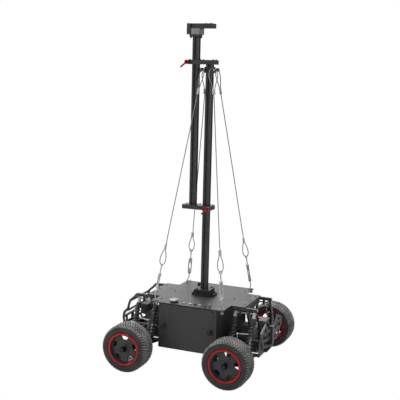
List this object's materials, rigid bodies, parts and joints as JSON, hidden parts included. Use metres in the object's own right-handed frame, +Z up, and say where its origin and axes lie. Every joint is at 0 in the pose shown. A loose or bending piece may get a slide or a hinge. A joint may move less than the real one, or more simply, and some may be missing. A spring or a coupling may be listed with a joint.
{
  "type": "four wheel robot chassis",
  "caption": "Four wheel chassis with independent sprung suspension, a boxed deck, and a guyed telescoping square mast with clamp levers and a top plate.",
  "frame": {"origin": "on the ground under the middle of the bounding box", "axes": "+X to the front, +Y to the left, +Z up along the mast"},
  "size_m": [0.595, 0.592, 1.256],
  "materials": {
    "deck_black": "satin",
    "mast_black": "satin",
    "black_plastic": "satin",
    "grey_plastic": "satin",
    "tyre_rubber": "matte",
    "rim_black": "satin",
    "red_metal": "satin",
    "steel": "satin",
    "button_green": "satin"
  },
  "bodies": {
    "chassis": {"top_plate": "deck_black", "body_box": "deck_black", "side_panel_left": "deck_black", "side_panel_right": "deck_black", "battery_pack": "black_plastic", "drive_motor": "steel", "mast_base": "mast_black", "lower_tube": "mast_black", "guy_collar": "mast_black", "upper_bracket": "mast_black", "gearbox_front": "grey_plastic", "gearbox_rear": "grey_plastic", "rail_frame_front": "mast_black", "rail_frame_rear": "mast_black", "bumper_front": "black_plastic", "bumper_rear": "black_plastic", "guy_wire_fl": "steel", "guy_wire_fr": "steel", "guy_wire_rl": "steel", "guy_wire_rr": "steel"},
    "mast_upper": {"upper_tube": "mast_black", "sliding_bracket": "mast_black", "head_mount": "mast_black"},
    "lever_upper": {"clamp_lever_upper": "red_metal"},
    "lever_lower": {"clamp_lever_lower": "red_metal"},
    "button": {"button_cap": "button_green"},
    "lower_arm_fl": {"lower_arm_fl": "black_plastic"},
    "upper_arm_fl": {"upper_arm_fl": "black_plastic"},
    "upright_fl": {"upright_fl": "black_plastic"},
    "knuckle_fl": {"knuckle_fl": "black_plastic"},
    "wheel_fl": {"tyre_fl": "tyre_rubber", "rim_fl": "rim_black"},
    "shock_bodies_fl": {"shock_bodies_fl": "mast_black"},
    "shock_rods_fl": {"shock_rods_fl": "steel"},
    "turnbuckle_fl": {"turnbuckle_fl": "steel"},
    "lower_arm_fr": {"lower_arm_fr": "black_plastic"},
    "upper_arm_fr": {"upper_arm_fr": "black_plastic"},
    "upright_fr": {"upright_fr": "black_plastic"},
    "knuckle_fr": {"knuckle_fr": "black_plastic"},
    "wheel_fr": {"tyre_fr": "tyre_rubber", "rim_fr": "rim_black"},
    "shock_bodies_fr": {"shock_bodies_fr": "mast_black"},
    "shock_rods_fr": {"shock_rods_fr": "steel"},
    "turnbuckle_fr": {"turnbuckle_fr": "steel"},
    "lower_arm_rl": {"lower_arm_rl": "black_plastic"},
    "upper_arm_rl": {"upper_arm_rl": "black_plastic"},
    "upright_rl": {"upright_rl": "black_plastic"},
    "wheel_rl": {"tyre_rl": "tyre_rubber", "rim_rl": "rim_black"},
    "shock_bodies_rl": {"shock_bodies_rl": "mast_black"},
    "shock_rods_rl": {"shock_rods_rl": "steel"},
    "turnbuckle_rl": {"turnbuckle_rl": "steel"},
    "lower_arm_rr": {"lower_arm_rr": "black_plastic"},
    "upper_arm_rr": {"upper_arm_rr": "black_plastic"},
    "upright_rr": {"upright_rr": "black_plastic"},
    "wheel_rr": {"tyre_rr": "tyre_rubber", "rim_rr": "rim_black"},
    "shock_bodies_rr": {"shock_bodies_rr": "mast_black"},
    "shock_rods_rr": {"shock_rods_rr": "steel"},
    "turnbuckle_rr": {"turnbuckle_rr": "steel"}
  },
  "joints": [
    {"name": "mast_slide", "type": "slide", "parent": "chassis", "child": "mast_upper", "axis": [0, 0, 1], "range_m": [-0.075, 0.4]},
    {"name": "lever_upper_turn", "type": "hinge", "parent": "chassis", "child": "lever_upper", "pos_m": [-0.065, -0.03, 1.1185], "axis": [0, 1, 0], "range_deg": [0, 120]},
    {"name": "lever_lower_turn", "type": "hinge", "parent": "mast_upper", "child": "lever_lower", "pos_m": [0.032, -0.03, 0.583], "axis": [0, 1, 0], "range_deg": [0, 120]},
    {"name": "button_press", "type": "slide", "parent": "chassis", "child": "button", "axis": [0, 0, -1], "range_m": [0, 0.003], "stiffness_N_per_m": 400},
    {"name": "suspension_fl", "type": "hinge", "parent": "chassis", "child": "lower_arm_fl", "pos_m": [0.209, 0.07, 0.066], "axis": [1, 0, 0], "range_deg": [-6, 15], "stiffness_Nm_per_rad": 60, "springref_deg": -3.09},
    {"name": "upper_arm_fl", "type": "hinge", "parent": "chassis", "child": "upper_arm_fl", "pos_m": [0.209, 0.07, 0.118], "axis": [1, 0, 0], "range_deg": [-6.5, 15.5]},
    {"name": "upright_fl", "type": "hinge", "parent": "lower_arm_fl", "child": "upright_fl", "pos_m": [0.209, 0.18, 0.066], "axis": [1, 0, 0], "range_deg": [-15.5, 6.5]},
    {"name": "shock_tilt_fl", "type": "hinge", "parent": "chassis", "child": "shock_bodies_fl", "pos_m": [0.209, 0.084, 0.2235], "axis": [1, 0, 0], "range_deg": [-1, 2]},
    {"name": "shock_travel_fl", "type": "slide", "parent": "shock_bodies_fl", "child": "shock_rods_fl", "axis": [0, -0.3866, 0.9222], "range_m": [-0.01, 0.021]},
    {"name": "steer_fl", "type": "hinge", "parent": "upright_fl", "child": "knuckle_fl", "pos_m": [0.209, 0.202, 0.088], "axis": [0, 0, 1], "range_deg": [-25, 25]},
    {"name": "wheel_spin_fl", "type": "hinge", "parent": "knuckle_fl", "child": "wheel_fl", "pos_m": [0.209, 0.2505, 0.088], "axis": [0, 1, 0], "continuous": true},
    {"name": "turnbuckle_turn_fl", "type": "hinge", "parent": "chassis", "child": "turnbuckle_fl", "pos_m": [0.13885, 0.14876, 0.31346], "axis": [-0.1326, -0.1629, 0.9777], "continuous": true},
    {"name": "suspension_fr", "type": "hinge", "parent": "chassis", "child": "lower_arm_fr", "pos_m": [0.209, -0.07, 0.066], "axis": [-1, 0, 0], "range_deg": [-6, 15], "stiffness_Nm_per_rad": 60, "springref_deg": -3.09},
    {"name": "upper_arm_fr", "type": "hinge", "parent": "chassis", "child": "upper_arm_fr", "pos_m": [0.209, -0.07, 0.118], "axis": [-1, 0, 0], "range_deg": [-6.5, 15.5]},
    {"name": "upright_fr", "type": "hinge", "parent": "lower_arm_fr", "child": "upright_fr", "pos_m": [0.209, -0.18, 0.066], "axis": [-1, 0, 0], "range_deg": [-15.5, 6.5]},
    {"name": "shock_tilt_fr", "type": "hinge", "parent": "chassis", "child": "shock_bodies_fr", "pos_m": [0.209, -0.084, 0.2235], "axis": [-1, 0, 0], "range_deg": [-1, 2]},
    {"name": "shock_travel_fr", "type": "slide", "parent": "shock_bodies_fr", "child": "shock_rods_fr", "axis": [0, 0.3866, 0.9222], "range_m": [-0.01, 0.021]},
    {"name": "steer_fr", "type": "hinge", "parent": "upright_fr", "child": "knuckle_fr", "pos_m": [0.209, -0.202, 0.088], "axis": [0, 0, 1], "range_deg": [-25, 25]},
    {"name": "wheel_spin_fr", "type": "hinge", "parent": "knuckle_fr", "child": "wheel_fr", "pos_m": [0.209, -0.2505, 0.088], "axis": [0, 1, 0], "continuous": true},
    {"name": "turnbuckle_turn_fr", "type": "hinge", "parent": "chassis", "child": "turnbuckle_fr", "pos_m": [0.13885, -0.14876, 0.31346], "axis": [-0.1326, 0.1629, 0.9777], "continuous": true},
    {"name": "suspension_rl", "type": "hinge", "parent": "chassis", "child": "lower_arm_rl", "pos_m": [-0.181, 0.07, 0.066], "axis": [1, 0, 0], "range_deg": [-6, 15], "stiffness_Nm_per_rad": 60, "springref_deg": -3.09},
    {"name": "upper_arm_rl", "type": "hinge", "parent": "chassis", "child": "upper_arm_rl", "pos_m": [-0.181, 0.07, 0.118], "axis": [1, 0, 0], "range_deg": [-6.5, 15.5]},
    {"name": "upright_rl", "type": "hinge", "parent": "lower_arm_rl", "child": "upright_rl", "pos_m": [-0.181, 0.18, 0.066], "axis": [1, 0, 0], "range_deg": [-15.5, 6.5]},
    {"name": "shock_tilt_rl", "type": "hinge", "parent": "chassis", "child": "shock_bodies_rl", "pos_m": [-0.181, 0.084, 0.2235], "axis": [1, 0, 0], "range_deg": [-1, 2]},
    {"name": "shock_travel_rl", "type": "slide", "parent": "shock_bodies_rl", "child": "shock_rods_rl", "axis": [0, -0.3866, 0.9222], "range_m": [-0.01, 0.021]},
    {"name": "wheel_spin_rl", "type": "hinge", "parent": "upright_rl", "child": "wheel_rl", "pos_m": [-0.181, 0.2505, 0.088], "axis": [0, 1, 0], "continuous": true},
    {"name": "turnbuckle_turn_rl", "type": "hinge", "parent": "chassis", "child": "turnbuckle_rl", "pos_m": [-0.11085, 0.14876, 0.31346], "axis": [0.1326, -0.1629, 0.9777], "continuous": true},
    {"name": "suspension_rr", "type": "hinge", "parent": "chassis", "child": "lower_arm_rr", "pos_m": [-0.181, -0.07, 0.066], "axis": [-1, 0, 0], "range_deg": [-6, 15], "stiffness_Nm_per_rad": 60, "springref_deg": -3.09},
    {"name": "upper_arm_rr", "type": "hinge", "parent": "chassis", "child": "upper_arm_rr", "pos_m": [-0.181, -0.07, 0.118], "axis": [-1, 0, 0], "range_deg": [-6.5, 15.5]},
    {"name": "upright_rr", "type": "hinge", "parent": "lower_arm_rr", "child": "upright_rr", "pos_m": [-0.181, -0.18, 0.066], "axis": [-1, 0, 0], "range_deg": [-15.5, 6.5]},
    {"name": "shock_tilt_rr", "type": "hinge", "parent": "chassis", "child": "shock_bodies_rr", "pos_m": [-0.181, -0.084, 0.2235], "axis": [-1, 0, 0], "range_deg": [-1, 2]},
    {"name": "shock_travel_rr", "type": "slide", "parent": "shock_bodies_rr", "child": "shock_rods_rr", "axis": [0, 0.3866, 0.9222], "range_m": [-0.01, 0.021]},
    {"name": "wheel_spin_rr", "type": "hinge", "parent": "upright_rr", "child": "wheel_rr", "pos_m": [-0.181, -0.2505, 0.088], "axis": [0, 1, 0], "continuous": true},
    {"name": "turnbuckle_turn_rr", "type": "hinge", "parent": "chassis", "child": "turnbuckle_rr", "pos_m": [-0.11085, -0.14876, 0.31346], "axis": [0.1326, 0.1629, 0.9777], "continuous": true}
  ],
  "couplings": [
    {"joint": "upper_arm_fl", "follows": "suspension_fl", "ratio": 1},
    {"joint": "upright_fl", "follows": "suspension_fl", "ratio": -1},
    {"joint": "shock_tilt_fl", "follows": "suspension_fl", "ratio": 0.0761},
    {"joint": "shock_travel_fl", "follows": "suspension_fl", "m_per_rad": 0.07488},
    {"joint": "upper_arm_fr", "follows": "suspension_fr", "ratio": 1},
    {"joint": "upright_fr", "follows": "suspension_fr", "ratio": -1},
    {"joint": "shock_tilt_fr", "follows": "suspension_fr", "ratio": 0.0761},
    {"joint": "shock_travel_fr", "follows": "suspension_fr", "m_per_rad": 0.07488},
    {"joint": "upper_arm_rl", "follows": "suspension_rl", "ratio": 1},
    {"joint": "upright_rl", "follows": "suspension_rl", "ratio": -1},
    {"joint": "shock_tilt_rl", "follows": "suspension_rl", "ratio": 0.0761},
    {"joint": "shock_travel_rl", "follows": "suspension_rl", "m_per_rad": 0.07488},
    {"joint": "upper_arm_rr", "follows": "suspension_rr", "ratio": 1},
    {"joint": "upright_rr", "follows": "suspension_rr", "ratio": -1},
    {"joint": "shock_tilt_rr", "follows": "suspension_rr", "ratio": 0.0761},
    {"joint": "shock_travel_rr", "follows": "suspension_rr", "m_per_rad": 0.07488},
    {"joint": "steer_fr", "follows": "steer_fl", "ratio": 1}
  ]
}
